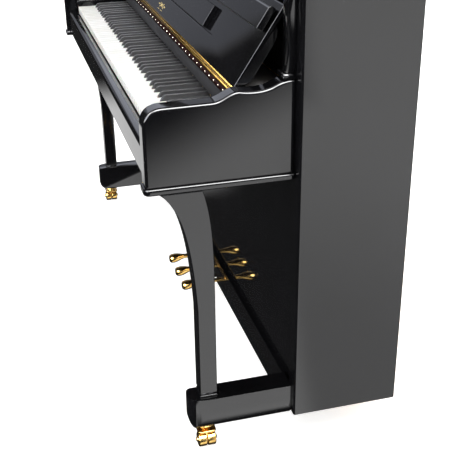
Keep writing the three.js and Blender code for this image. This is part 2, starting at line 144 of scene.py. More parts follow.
def timber(name, light, dark, along, ring_mm, gloss, specular=0.5):
    """Planed wood: growth lines along one axis every ring_mm, and short pores between them."""
    material, tree, shader = new_material(name, IOR=1.5, Specular_IOR_Level=specular)
    stretch = [1.0, 1.0, 1.0]
    stretch["XYZ".index(along)] = 0.04
    at = place(tree, stretch)
    rings = add_node(tree, "ShaderNodeTexWave",
                     {"Scale": 1000 / ring_mm / 20, "Distortion": 4.0, "Detail": 3.0},
                     {"Vector": at}, bands_direction="X" if along != "X" else "Z")
    mixed = add_node(tree, "ShaderNodeMath", links={0: rings.outputs["Fac"],
                                                    1: noise(tree, at, 2.2, 4)},
                     operation="MULTIPLY")
    tree.links.new(two_colours(tree, mixed.outputs["Value"], light, dark),
                   shader.inputs["Base Color"])
    tree.links.new(spread(tree, mixed.outputs["Value"], gloss, gloss + 0.15, 0, 1),
                   shader.inputs["Roughness"])
    bump(tree, shader, noise(tree, at, 1.2, 3), 0.05, 0.5)
    return material


def wool_felt(name, light, dark):
    """Pressed wool: no weave, a cloudy fibre surface that scatters light at its rim."""
    material, tree, shader = new_material(name, Sheen_Weight=0.5, Sheen_Roughness=0.5,
                                          Roughness=0.95)
    at = place(tree)
    fibre = noise(tree, at, 1.1, 6, 0.75)
    tree.links.new(two_colours(tree, fibre, light, dark), shader.inputs["Base Color"])
    bump(tree, shader, fibre, 0.25, 0.8)
    return material


def drawn_wire(name, light, dark):
    """Drawn or turned bright metal, streaked along its length. The copper winding's turns are too
    fine to show."""
    return finish_of(name, (light, dark), (5, 3), (2, 3, 0.2, 0.35), None, (1, 1, 0.1), Metallic=1.0)


MATERIALS = {}


def look(name):
    """The finish of that short name, made the first time it is asked for."""
    if name not in MATERIALS:
        scene = bpy.context.scene
        case, keys, metal, stage = (scene.piano_case, scene.piano_keys, scene.piano_metal,
                                    scene.piano_stage)
        makers = {
            # Sprayed polyester, sanded and buffed: a deep black under a clear skin, with sharp
            # reflections and a faint polishing haze that changes over a hand's width.
            "lacquer": lambda: finish_of(
                "polished black polyester lacquer", (case.lacquer_hex, "0e0e10"), (140, 2),
                (9, 4, 0.02, 0.06), (60, 1, 0.01, 0.3), IOR=1.53),
            # Black lacquer made an even dark grey with almost no reflection: the grey is painted sheen,
            # standing in for the soft reflection on the fall rail's face, so that it doesn't mirror the
            # keys in front of it.
            "satin": lambda: finish_of(
                "black lacquer with painted grey sheen", ("323234", "2b2b2d"), (60, 3), (2, 4, 0.5, 0.62),
                (0.9, 2, 0.02, 0.5), IOR=1.5, Specular_IOR_Level=0.08),
            # Moulded and polished acrylic: clean white, a soft shine, light goes a little way in.
            "ivory": lambda: finish_of(
                "polished white acrylic", (keys.white_hex, "f1f0ea"), (35, 2), (4, 3, 0.1, 0.2),
                IOR=1.49, Subsurface_Weight=0.12, Subsurface_Scale=0.002),
            # Moulded phenolic, coloured mid grey rather than black: the grey is painted sheen standing in
            # for the reflections on the keys' sides and tops. A satin top that finger wear has polished in
            # places.
            "ebony": lambda: finish_of(
                "grey phenolic with painted sheen", (keys.black_hex, "353537"), (20, 2), (3, 4, 0.3, 0.42),
                (0.8, 2, 0.006, 0.3), (1, 0.2, 1), IOR=1.55),
            # Polished brass under clear lacquer: warm yellow, deeper where the lacquer has aged.
            "brass": lambda: finish_of(
                "polished lacquered brass", (metal.brass_hex, "b48c46"), (14, 4),
                (2.5, 4, 0.12, 0.3), (1.5, 2, 0.015, 0.4),
                Metallic=1.0, Coat_Weight=0.25, Coat_Roughness=0.08),
            # Rolled brass that has browned in the air: olive gold, dull between rubbed spots.
            "old_brass": lambda: finish_of(
                "aged rolled brass", ("b39450", "6d5326"), (7, 4), (3, 3, 0.28, 0.45),
                (1.2, 2, 0.02, 0.4), Metallic=1.0),
            # Transfer gilding: thin gold with broken edges in its shine.
            "gold": lambda: finish_of(
                "gold transfer leaf", ("e6d5a0", "c4a862"), (3, 4), (1, 3, 0.3, 0.5),
                Metallic=0.55),
            # Sand-cast iron sprayed with bronze paint: grainy, gold-brown, a dull metal glow.
            "iron": lambda: finish_of(
                "bronze painted cast iron", ("a98a4a", "8c6c32"), (50, 4), (6, 3, 0.38, 0.55),
                (1.6, 3, 0.12, 0.7), Metallic=0.65),
            # Opal acrylic lit from below: matt and white, so that shadows on it stay pale.
            "floor": lambda: finish_of(
                "matt opal acrylic floor", (stage.floor_hex, "f6f6f5"), (900, 3),
                (40, 3, 0.55, 0.7), IOR=1.45, Emission_Color=srgb(stage.floor_hex),
                Emission_Strength=stage.floor_glow),
            "screw": lambda: drawn_wire("nickel plated screw heads", "f4efe2", "d8cfb8"),
            "spruce": lambda: timber("quarter-sawn spruce", "d8b67c", "b98d52", "Z", 1.5, 0.35),
            "key_wood": lambda: timber("planed key spruce", "d9bd8c", "c0986a", "Y", 1.5, 0.5),
            "beech": lambda: timber("oiled beech", "c69b6b", "a8794c", "Z", 3, 0.45),
            "beech_rail": lambda: timber("planed beech rail", "c9a274", "ad8153", "X", 3, 0.45),
            "stained": lambda: timber("black stained board", "1d1916", "0f0d0c", "X", 4, 0.5),
            # Painted shade: a dark red-black colour, with little shine, for the strip under the hinge. It
            # stands in for the hinge's lower leaf seen in shade and dark reflection.
            "painted_hinge_shade": lambda: timber("dark red painted hinge shade", "1a0705", "0b0302", "X", 4, 0.6, 0.06),
            "felt": lambda: wool_felt("white hammer felt", "ece6d8", "cfc6b2"),
            "green_felt": lambda: wool_felt("green practice felt", "4a6b4d", "36503a"),
            "wire": lambda: drawn_wire("steel music wire", "b9bcc0", "8e9196"),
            "copper": lambda: drawn_wire("copper wound wire", "b5714a", "8a4f30"),
        }
        MATERIALS[name] = makers[name]()
    return MATERIALS[name]


# ---- mesh tools ----------------------------------------------------------------------------

def spot(x, y, z):
    """A point in metres from millimetres: y counts from the white keys' fronts, z from the floor."""
    return Vector((x * MM, KEY_FRONT + y * MM, z * MM))


def new_object(name, bm, material, smooth=True):
    """Turns a bmesh into an object with outward faces and one material."""
    bmesh.ops.remove_doubles(bm, verts=bm.verts, dist=1e-6)
    bmesh.ops.recalc_face_normals(bm, faces=bm.faces)
    for face in bm.faces:
        face.smooth = smooth
    mesh = bpy.data.meshes.new(name)
    bm.to_mesh(mesh)
    bm.free()
    made = bpy.data.objects.new(name, mesh)
    bpy.context.scene.collection.objects.link(made)
    made.data.materials.append(look(material))
    return made


def add_prism(bm, outline, low, high, axis="X"):
    """Adds a prism. Its outline is (y, z) along X, (x, y) along Z or (x, z) along Y, in mm."""
    put = {"X": lambda a, b, t: spot(t, a, b), "Z": lambda a, b, t: spot(a, b, t),
           "Y": lambda a, b, t: spot(a, t, b)}[axis]
    ends = [[bm.verts.new(put(a, b, t)) for a, b in outline] for t in (low, high)]
    bm.faces.new(ends[0][::-1])
    bm.faces.new(ends[1])
    count = len(outline)
    for i in range(count):
        k = (i + 1) % count
        bm.faces.new((ends[0][i], ends[0][k], ends[1][k], ends[1][i]))


def prism(name, outline, low, high, material="lacquer", axis="X"):
    bm = bmesh.new()
    add_prism(bm, outline, low, high, axis)
    return new_object(name, bm, material)


def soft_edges(piece, width_mm, segments=3, angle=35, clamp=True):
    """Rounds a piece's edges and evens its shading over the flats. Without the clamp, short faces
    round a corner don't hold the rounding back."""
    bevel = piece.modifiers.new("rounded edges", "BEVEL")
    bevel.width = width_mm * MM
    bevel.segments = segments
    bevel.limit_method = "ANGLE"
    bevel.angle_limit = math.radians(angle)
    bevel.use_clamp_overlap = clamp
    bevel.harden_normals = False
    even = piece.modifiers.new("even shading", "WEIGHTED_NORMAL")
    even.keep_sharp = True
    even.weight = 100
    return piece


def settled(piece):
    """Applies a piece's modifiers, leaving a plain mesh."""
    graph = bpy.context.evaluated_depsgraph_get()
    graph.update()
    mesh = bpy.data.meshes.new_from_object(piece.evaluated_get(graph))
    piece.modifiers.clear()
    old = piece.data
    piece.data = mesh
    mesh.name = piece.name
    bpy.data.meshes.remove(old)
    return piece


def combine(piece, other, operation):
    """Cuts, joins or intersects two solids, and removes the second."""
    step = piece.modifiers.new("combine", "BOOLEAN")
    step.operation = operation
    step.solver = "EXACT"
    step.object = other
    settled(piece)
    old = other.data
    bpy.data.objects.remove(other)
    bpy.data.meshes.remove(old)
    return piece


def mirror_copy(piece, name):
    """The same piece at the other end of the keyboard."""
    bm = bmesh.new()
    bm.from_mesh(piece.data)
    bmesh.ops.scale(bm, vec=(-1, 1, 1), verts=bm.verts)
    bmesh.ops.reverse_faces(bm, faces=bm.faces)
    mesh = bpy.data.meshes.new(name)
    bm.to_mesh(mesh)
    bm.free()
    made = bpy.data.objects.new(name, mesh)
    bpy.context.scene.collection.objects.link(made)
    for material in piece.data.materials:
        mesh.materials.append(material)
    for step in piece.modifiers:
        copy = made.modifiers.new(step.name, step.type)
        for prop in step.bl_rna.properties:
            if not prop.is_readonly and prop.identifier not in ("name", "execution_time"):
                setattr(copy, prop.identifier, getattr(step, prop.identifier))
    return made


def join_pieces(name, pieces):
    """One object from several, with their materials kept."""
    bm = bmesh.new()
    slots = []
    for piece in pieces:
        start = len(bm.faces)
        bm.from_mesh(piece.data)
        bm.faces.ensure_lookup_table()
        for material in piece.data.materials:
            if material not in slots:
                slots.append(material)
        for face in bm.faces[start:]:
            face.material_index = slots.index(piece.data.materials[face.material_index])
    mesh = bpy.data.meshes.new(name)
    bm.to_mesh(mesh)
    bm.free()
    for material in slots:
        mesh.materials.append(material)
    for piece in pieces:
        old = piece.data
        bpy.data.objects.remove(piece)
        bpy.data.meshes.remove(old)
    made = bpy.data.objects.new(name, mesh)
    bpy.context.scene.collection.objects.link(made)
    return made


def finish_piece(piece, body, slot, *stands_for):
    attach(piece, body)
    if stands_for:
        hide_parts(*stands_for)
    return piece


def arc(cx, cy, r, start, end, steps=8):
    """Points of an arc, in degrees, in the outline's own plane."""
    return [(cx + r * math.cos(math.radians(start + (end - start) * i / steps)),
             cy + r * math.sin(math.radians(start + (end - start) * i / steps)))
            for i in range(steps + 1)]


def curve(p0, p1, p2, p3, steps=16):
    """Points of a cubic curve, without its first."""
    out = []
    for i in range(1, steps + 1):
        t = i / steps
        out.append(tuple((1 - t) ** 3 * a + 3 * (1 - t) ** 2 * t * b + 3 * (1 - t) * t * t * c
                         + t ** 3 * d for a, b, c, d in zip(p0, p1, p2, p3)))
    return out


def rounded_box(x0, x1, y0, y1, radii, steps=6):
    """A rectangle with a radius at each corner: low-low, high-low, high-high, low-high.
    A radius under 1 mm makes a sharp corner, which a bevel rounds better than short faces do."""
    corners = ((x0, y0, 1, 1, 180), (x1, y0, -1, 1, 270), (x1, y1, -1, -1, 0), (x0, y1, 1, -1, 90))
    points = []
    for (x, y, to_x, to_y, start), r in zip(corners, radii):
        if r < 1:
            points.append((x, y))
        else:
            points += arc(x + to_x * r, y + to_y * r, r, start, start + 90, min(steps, round(r) + 1))
    return points


def lathe(bm, profile, centre, axis, steps=40):
    """Adds a turned solid: profile is (radius, distance along axis) in mm, from axis to axis."""
    axis = Vector(axis).normalized()
    side = axis.orthogonal().normalized()
    other = axis.cross(side)
    rings = []
    for radius, along in profile:
        middle = Vector(centre) + axis * along * MM
        if radius < 1e-6:
            rings.append([bm.verts.new(middle)])
            continue
        rings.append([bm.verts.new(middle + (side * math.cos(t) + other * math.sin(t)) * radius * MM)
                      for t in (2 * math.pi * i / steps for i in range(steps))])
    for low, high in zip(rings, rings[1:]):
        for i in range(steps):
            k = (i + 1) % steps
            corners = [low[i % len(low)], low[k % len(low)], high[k % len(high)], high[i % len(high)]]
            face = list(dict.fromkeys(corners))
            if len(face) > 2:
                bm.faces.new(face)


# ---- rows made by geometry nodes ----------------------------------------------------------------

def row_tree(name):
    """A tree that repeats its own mesh along a line: Count copies, Step apart."""
    tree = bpy.data.node_groups.new(name, "GeometryNodeTree")
    tree.is_modifier = True
    face = tree.interface
    face.new_socket("Geometry", in_out="INPUT", socket_type="NodeSocketGeometry")
    face.new_socket("Count", in_out="INPUT", socket_type="NodeSocketInt")
    face.new_socket("Step", in_out="INPUT", socket_type="NodeSocketVector")
    face.new_socket("Material", in_out="INPUT", socket_type="NodeSocketMaterial")
    face.new_socket("Geometry", in_out="OUTPUT", socket_type="NodeSocketGeometry")
    given = add_node(tree, "NodeGroupInput").outputs
    line = add_node(tree, "GeometryNodeMeshLine",
                    links={"Count": given["Count"], "Offset": given["Step"]}, mode="OFFSET")
    copies = add_node(tree, "GeometryNodeInstanceOnPoints",
                      links={"Points": line.outputs["Mesh"], "Instance": given["Geometry"]})
    real = add_node(tree, "GeometryNodeRealizeInstances",
                    links={"Geometry": copies.outputs["Instances"]})
    coated = add_node(tree, "GeometryNodeSetMaterial",
                      links={"Geometry": real.outputs["Geometry"], "Material": given["Material"]})
    add_node(tree, "NodeGroupOutput", links={"Geometry": coated.outputs["Geometry"]})
    return tree


def repeat(piece, count, step):
    """Repeats a piece count times, step metres apart, as one plain mesh."""
    tree = bpy.data.node_groups.get("row of pieces") or row_tree("row of pieces")
    modifier = piece.modifiers.new("row", "NODES")
    modifier.node_group = tree
    wanted = {"Count": count, "Step": Vector(step), "Material": piece.data.materials[0]}
    for item in tree.interface.items_tree:
        if item.in_out == "INPUT" and item.name in wanted:
            modifier[item.identifier] = wanted[item.name]
    return settled(piece)


# ---- settings --------------------------------------------------------------------------------

class PianoCaseSettings(bpy.types.PropertyGroup):
    """Sizes and colour of the lacquered case."""
    lacquer_hex: bpy.props.StringProperty(
        name="Lacquer", description="Colour of the lacquer, sRGB hex", default="09090a")
    panel_edge: bpy.props.FloatProperty(
        name="Panel edge", description="Rounding of the panels' edges, mm", default=2.2, min=0.2)


class PianoKeySettings(bpy.types.PropertyGroup):
    """Colours and edges of the keys."""
    white_hex: bpy.props.StringProperty(
        name="White keys", description="Colour of the white keys, sRGB hex", default="fbfbf8")
    # The black keys' default is a mid grey: painted sheen in place of their reflections.
    black_hex: bpy.props.StringProperty(
        name="Black keys", description="Colour of the black keys, sRGB hex", default="3e3e40")
    white_edge: bpy.props.FloatProperty(
        name="White key edge", description="Rounding of a white key's top, mm", default=0.9, min=0.1)


class PianoMetalSettings(bpy.types.PropertyGroup):
    """Colour and spacing of the brass fittings."""
    brass_hex: bpy.props.StringProperty(
        name="Brass", description="Colour of the brass, sRGB hex", default="dfbd74")
    screw_pitch: bpy.props.FloatProperty(
        name="Screw spacing", description="Between two hinge screws, mm", default=36.0, min=10)


class PianoStageSettings(bpy.types.PropertyGroup):
    """The studio round the piano."""
    floor_hex: bpy.props.StringProperty(
        name="Floor", description="Colour of the floor, sRGB hex", default="f2f2f1")
    surround: bpy.props.FloatProperty(
        name="Surround", description="Brightness of the white surround", default=1.15, min=0)
    lamp_power: bpy.props.FloatProperty(
        name="Softbox", description="Power of the overhead softbox", default=45.0, min=0, unit="POWER")
    floor_glow: bpy.props.FloatProperty(
        name="Floor glow", description="Light from the translucent floor", default=0.75, min=0)


# ---- case --------------------------------------------------------------------------------------

SIDE = {"inner": 719, "outer": 757, "front": 263, "back": 505, "foot": 65, "top": 1178}
ARM = {"inner": 687, "outer": 729, "front": -34, "top": 789, "foot": 618, "mould_top": 632,
       "mould_out": 733, "mould_front": -38, "back": 262.7}


def arm_outline():
    """Cheek seen from the side: level along the keys, a swell up to the hinge, a hollow behind it."""
    a = ARM
    points = [(a["back"], a["mould_top"] - 1), (a["front"], a["mould_top"] - 1), (a["front"], 748)]
    points += curve((a["front"], 748), (a["front"], 775), (a["front"] + 14, a["top"] - 0.3),
                    (6, a["top"]), 14)
    points += [(60, a["top"] + 0.5), (100, a["top"] + 1)]
    points += curve((100, 790), (122, 791), (132, 807), (152, 807))
    points += curve((152, 807), (176, 802), (204, 803), (222, 812))
    points += curve((222, 812), (234, 818), (246, 821), (a["back"], 821), 8)
    return points


class PIANO_OT_case(bpy.types.Operator):
    """Side panels, cheeks, pilasters, legs, toe blocks and the panels between them"""
    bl_idname = "piano.case"
    bl_label = "Case"

    def execute(self, context):
        edge = context.scene.piano_case.panel_edge
        self.pair("side_panel", prism(
            "side_panel_finish", rounded_box(SIDE["inner"], SIDE["outer"], SIDE["front"],
                                             SIDE["back"], (1, 5, 5, 1), 8),
            SIDE["foot"], SIDE["top"], axis="Z"), edge)

        cheek = prism("arm_finish", arm_outline(), ARM["inner"], ARM["outer"])
        cheek = settled(soft_edges(cheek, 6, 5))
        mould = prism("mould", rounded_box(ARM["inner"], ARM["mould_out"], ARM["mould_front"],
                                           ARM["back"], (5, 12, 0.5, 0.5), 8),
                      ARM["foot"], ARM["mould_top"], axis="Z")
        mould = settled(soft_edges(mould, 4, 4, 35, False))
        self.pair("arm", join_pieces("arm_finish", [cheek, mould]), 0)

        strip = prism("strip", rounded_box(690, 727, 244, 262.7, (14, 14, 0.5, 0.5), 10),
                      823.5, SIDE["top"], axis="Z")
        beads = [(262.7, 821.5), (262.7, 832)] + arc(240.7, 829.3, 2.7, 90, 260, 8)
        plinth = prism("plinth", beads + arc(240.7, 824.2, 2.7, 100, 270, 8), 687, 729)
        self.pair("pilaster", join_pieces("pilaster_finish", [strip, plinth]), 0)

        top = ARM["foot"] - 0.3
        outline = [(59, 143), (97, 143), (97, 400)]
        outline += curve((97, 400), (97, 490), (95, 560), (77, top), 24)
        outline += [(-9, top)] + curve((-9, top), (38, 582), (52, 480), (59, 350), 30)
        shaft = settled(soft_edges(prism("shaft", outline, 687, 729), 6.5, 5))
        neck = prism("neck", rounded_box(61.5, 94.5, 137, 143.4, (0.5, 0.5, 0.5, 0.5), 2), 689.5, 726.5)
        sole = prism("sole", rounded_box(59, 97, 134.8, 138.4, (1, 1, 1.5, 1.5), 4), 687, 729)
        sole = settled(soft_edges(sole, 1, 3, 60))
        self.pair("leg", join_pieces("leg_finish", [shaft, neck, sole]), 0)

        side = [(57, 57), (262.7, 57), (262.7, 134.5), (33, 134.5)] + arc(57, 81, 24, 180, 269, 12)
        block = prism("toe_finish", side, 687, 742)
        plan = [(686.9, 262.8), (686.9, 47)] + arc(700.9, 47, 14, 180, 270, 8)
        plan += curve((712, 33), (731, 33), (742, 44), (742, 88), 20) + [(742, 262.8)]
        plan = prism("plan", plan, 50, 140, axis="Z")
        block = combine(block, plan, "INTERSECT")
        belly = [(686.5, 56.9)] + curve((725, 56.9), (735, 57.2), (742.1, 69), (742.1, 108), 18)
        belly += [(742.1, 135), (686.5, 135)]
        block = combine(block, prism("belly", belly, 30, 264, axis="Y"), "INTERSECT")
        self.pair("toe_block", block, 1.6)

        for node in ("keybed", "base_board", "iron_plate", "back_frame", "action_rail", "key_frame",
                     "soundboard", "pedal_plate"):
            NODES[node].data.materials.clear()
        slip = prism("key_slip_finish", rounded_box(-27.5, -3, 635, 703, (3, 0.5, 1.5, 12.5), 12),
                     -686.7, 686.7)
        finish_piece(soft_edges(slip, 1, 2, 60), "case", "black_lacquer", "key_slip")
        stop = prism("keys_front_stop", rounded_box(-2.7, 11.7, 668.3, 690.5, (0.5, 0.5, 1, 1), 2),
                     -612, 612, "stained")
        finish_piece(stop, "case", "board")
        # The fall rail's face: dark grey with painted sheen in place of a reflection.
        face = prism("rail_face", rounded_box(148, 160, 741.5, 775.5, (1, 0.5, 0.5, 0.5), 4),
                     -684, 684, "satin")
        back = [(160.2, 741.5), (166, 741.5), (166, 783), (269.5, 783), (269.5, 792.5), (148.6, 792.5)]
        back += [(148.6, 776), (160.2, 776)]
        shelf = prism("rail_shelf", back, -684, 684)
        # A strip under the hinge, coloured dark red-black as painted shade in place of the hinge's shaded
        # lower leaf; the screw heads sit in it.
        strip = prism("hinge_shade_strip", [(144.5, 778.5), (148.5, 778.5), (148.5, 790.2), (144.5, 790.2)],
                      -684, 684, "painted_hinge_shade")
        lining = prism("rail_lining", [(166.5, 792.6), (269, 792.6), (269, 793), (166.5, 793)],
                       -684, 684, "stained")
        finish_piece(lining, "case", "board")
        finish_piece(join_pieces("fall_rail_finish", [face, shelf, strip]), "case",
                     "black_lacquer", "fall_rail")
        self.pair("key_block", prism("key_block_finish", rounded_box(
            -2.5, 146, 668.3, 744, (0.5, 0.5, 3, 8), 8), 612.5, 686.7), 1.2)
        board = prism("bottom_board_finish", rounded_box(268, 286, 134.8, 631.7, (0, 0, 0, 0), 1),
                      -718.7, 718.7)
        board.data.shade_flat()
        finish_piece(board, "case", "black_lacquer", "bottom_board")
        panel = prism("upper_panel_finish", rounded_box(270, 290, 793.5, 1176, (1.5, 1, 1, 1.5), 3),
                      -718.7, 718.7)
        finish_piece(soft_edges(panel, 1, 2), "case", "black_lacquer", "upper_panel")
        middle = (236 + 505) / 2
        rear = prism("lid_rear_finish", rounded_box(middle + 0.5, 505, 1178.3, 1205,
                                                    (0.6, 4, 4, 1.2), 6), -760, 760)
        finish_piece(soft_edges(rear, 2.5, 4, 60), "case", "black_lacquer", "top_lid_rear")
        front = prism("lid_front_finish", rounded_box(236, middle - 0.5, 1178.3, 1205,
                                                      (8, 0.6, 1.2, 8), 8), -760, 760)
        finish_piece(soft_edges(front, 2.5, 4, 60), "lid", "black_lacquer", "top_lid_front")
        toe_rail = prism("bottom_rail_finish", rounded_box(258, 290, 57, 134.5, (0, 0, 0, 0), 1),
                         -686.7, 686.7)
        for x in (-87, 0, 87):
            notch = prism("notch", rounded_box(x - 14, x + 14, 40, 84, (1, 1, 8, 8), 5),
                          250, 300, axis="Y")
            combine(toe_rail, notch, "DIFFERENCE")
        toe_rail.data.shade_flat()
        finish_piece(toe_rail, "case", "black_lacquer", "bottom_rail")
        plain = {"keybed": "stained", "base_board": "stained", "iron_plate": "iron",
                 "back_frame": "beech", "action_rail": "beech_rail", "key_frame": "beech_rail",
                 "soundboard": "spruce", "pedal_plate": "brass"}
        for node, finish in plain.items():
            NODES[node].data.materials.append(look(finish))
        return {"FINISHED"}

    def pair(self, node, piece, edge):
        """Finishes the treble piece and its mirror copy."""
        piece.name = f"{node}_treble_finish"
        if edge:
            soft_edges(piece, edge, 4)
            settled(piece)
        other = mirror_copy(piece, f"{node}_bass_finish")
        for end, made in (("treble", piece), ("bass", other)):
            finish_piece(made, "case", "black_lacquer", f"{node}_{end}")


# ---- fallboard ------------------------------------------------------------------------------------

FALL = {"y": 150.6, "z": 797, "angle": 56.31}      # hinge line and slope of the open fallboard


def on_board(s, n):
    """(y, z) of a point s up the open fallboard from its hinge and n out of its inner face."""
    c, d = math.cos(math.radians(FALL["angle"])), math.sin(math.radians(FALL["angle"]))
    return FALL["y"] + s * c - n * d, FALL["z"] + s * d + n * c


def board_prism(name, outline, low, high, material="lacquer"):
    return prism(name, [on_board(s, n) for s, n in outline], low, high, material)


class PIANO_OT_fallboard(bpy.types.Operator):
    """Fallboard with its recess, the folding lip, the music desk, the ornament and the hinges"""
    bl_idname = "piano.fallboard"
    bl_label = "Fallboard"

    def execute(self, context):
        outline = [(4, -0.5), (4, -10), (13, -10)] + curve((13, -10), (20, -20), (28, -25), (42, -25), 14)
        outline += [(112, -25)] + curve((112, -25), (128, -25), (138, -19), (146, -10), 14)
        outline += [(185, -10)] + arc(184, -8, 2, 270, 360, 4) + arc(183, -3, 3, 0, 90, 5)
        outline += [(4.5, 0)]
        board = board_prism("fallboard_finish", outline, -680, 680)
        board = settled(soft_edges(board, 1.5, 4, 50, False))
        recess = board_prism("recess", rounded_box(52, 114, -12, 6, (1, 1, 0, 0), 3), -412, 412)
        combine(board, recess, "DIFFERENCE")
        even = board.modifiers.new("even shading", "WEIGHTED_NORMAL")
        even.keep_sharp = True
        finish_piece(board, "fallboard", "black_lacquer", "fallboard")

        lip = board_prism("lip_finish", rounded_box(121, 171, 8, 22.5, (2.5, 2.5, 7, 2.5), 8), -678, 678)
        finish_piece(soft_edges(lip, 1.5, 3, 60, False), "lip", "black_lacquer", "fallboard_lip")
        desk = board_prism("desk_finish", rounded_box(55, 108, -11, -0.5, (1.2, 1.5, 2, 1.5), 4), -320, 320)
        finish_piece(soft_edges(desk, 1, 3, 60, False), "desk", "black_lacquer", "music_desk")
        self.ornament()
        self.hinge(context)
        return {"FINISHED"}

    def ornament(self):
        """A plain gilt ornament of a lozenge and leaves, inlaid in the fallboard."""
        bm = bmesh.new()

        def leaf(cx, cs, length, width, turn):
            points = []
            for i in range(16):
                t = 2 * math.pi * i / 16
                a = length / 2 * math.cos(t)
                b = width / 2 * math.sin(t) * (1 - 0.75 * abs(math.cos(t)) ** 3)
                c, d = math.cos(turn), math.sin(turn)
                points.append((cx + a * c - b * d, cs + a * d + b * c))
            rings = []
            for n in (-0.05, 0.18):
                rings.append([bm.verts.new(spot(x, *on_board(s, n))) for x, s in points])
            bm.faces.new(rings[0][::-1])
            bm.faces.new(rings[1])
            for i in range(16):
                k = (i + 1) % 16
                bm.faces.new((rings[0][i], rings[0][k], rings[1][k], rings[1][i]))

        middle, height = -60, 27
        leaf(middle, height, 9, 13, math.pi / 2)
        for side in (-1, 1):
            for k, (away, rise, long) in enumerate(((13, 3.5, 17), (13, -3.5, 17), (30, 0, 20))):
                leaf(middle + side * away, height + rise, long, 4.6, side * (0.35, -0.35, 0)[k])
        for side in (-1, 1):
            leaf(middle + side * 17, height - 12, 26, 2.2, 0)
        finish_piece(new_object("fallboard_ornament", bm, "gold", False), "fallboard", "brass")

    def hinge(self, context):
        """Continuous brass hinge: leaves, knuckles and screws."""
        pitch = context.scene.piano_metal.screw_pitch
        leaf = board_prism("fall_leaf", [(1.95, -0.6), (1.95, 0.4), (5.4, 0.4), (5.4, -0.6)],
                           -676, 676, "old_brass")
        still = prism("rail_leaf", [(147.4, 790.4), (148.4, 790.4), (148.4, 796), (147.4, 796)],
                      -676, 676, "old_brass")
        knuckles = {}
        for body, start in (("fallboard", 0), ("case", 13)):
            bm = bmesh.new()
            lathe(bm, [(0, 0), (1.3, 0), (1.8, 0.5), (1.8, 11.7), (1.3, 12.2), (0, 12.2)],
                  spot(-676 + start, FALL["y"], FALL["z"]), (1, 0, 0), 14)
            knuckles[body] = repeat(new_object(f"knuckles_{body}", bm, "old_brass"), 52, (0.026, 0, 0))
        bm = bmesh.new()
        lathe(bm, [(0, -0.3), (2.1, -0.3), (2.1, 0.3), (1.7, 1.0), (0.9, 1.5), (0, 1.7)],
              spot(-660, 144.5, 785.5), (0, -1, 0), 14)
        screws = repeat(new_object("screws", bm, "screw"), int(1340 // pitch), (pitch * MM, 0, 0))
        finish_piece(join_pieces("hinge_fall_leaf", [leaf, knuckles["fallboard"]]),
                     "fallboard", "brass")
        finish_piece(join_pieces("hinge_rail_leaf", [still, knuckles["case"], screws]),
                     "case", "brass")


# ---- keyboard ------------------------------------------------------------------------------------

NATURALS, PITCH = 52, 23.5
LETTERS = "ABCDEFG"
SHIFT = {"C": -2.5, "D": 2.5, "F": -3.5, "G": 0, "A": 3.5}
KEY = {"top": 725, "foot": 703, "head": 50, "gap": 0.9, "sharp": 10.6, "sharp_top": 737,
       "sharp_rear": 158, "rear": 384, "sharp_stick": 366}


def key_left(i):
    return i * PITCH - NATURALS * PITCH / 2


def has_sharp(i):
    return 0 <= i < NATURALS - 1 and LETTERS[i % 7] in SHIFT


def sharp_x(i):
    return key_left(i + 1) + SHIFT[LETTERS[i % 7]]


